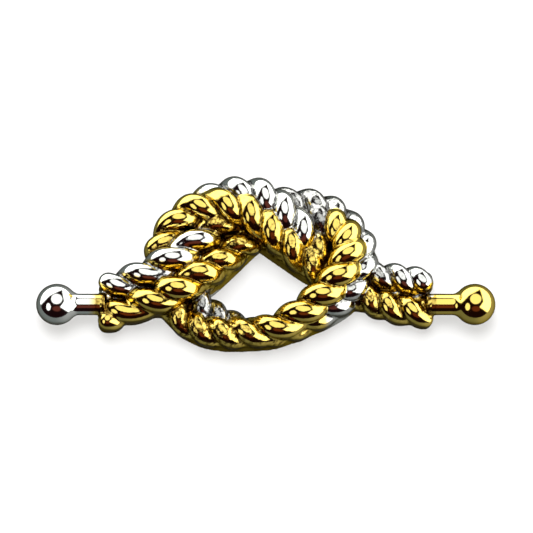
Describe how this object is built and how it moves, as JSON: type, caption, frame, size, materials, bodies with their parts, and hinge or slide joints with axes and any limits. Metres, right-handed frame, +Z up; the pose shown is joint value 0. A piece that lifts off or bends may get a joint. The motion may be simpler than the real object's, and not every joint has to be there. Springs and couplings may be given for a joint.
{
  "type": "knot charm",
  "caption": "Flat-backed cast charm: twin twisted ropes tied in an overhand knot, with a short neck and ball at each end, plated in silver and gold tones.",
  "frame": {"origin": "middle of the outline's box, on the plane of the flat back", "axes": "+X along the charm from the left ball to the right ball, +Y across it towards the wide side of the knot, +Z up out of the flat back"},
  "size_m": [0.038, 0.0146, 0.0046],
  "materials": {
    "plated_metal": "mirror polish, gold plate with silver-toned stretches of rope"
  },
  "bodies": {
    "root": {"knot_charm": "plated_metal"}
  },
  "joints": []
}
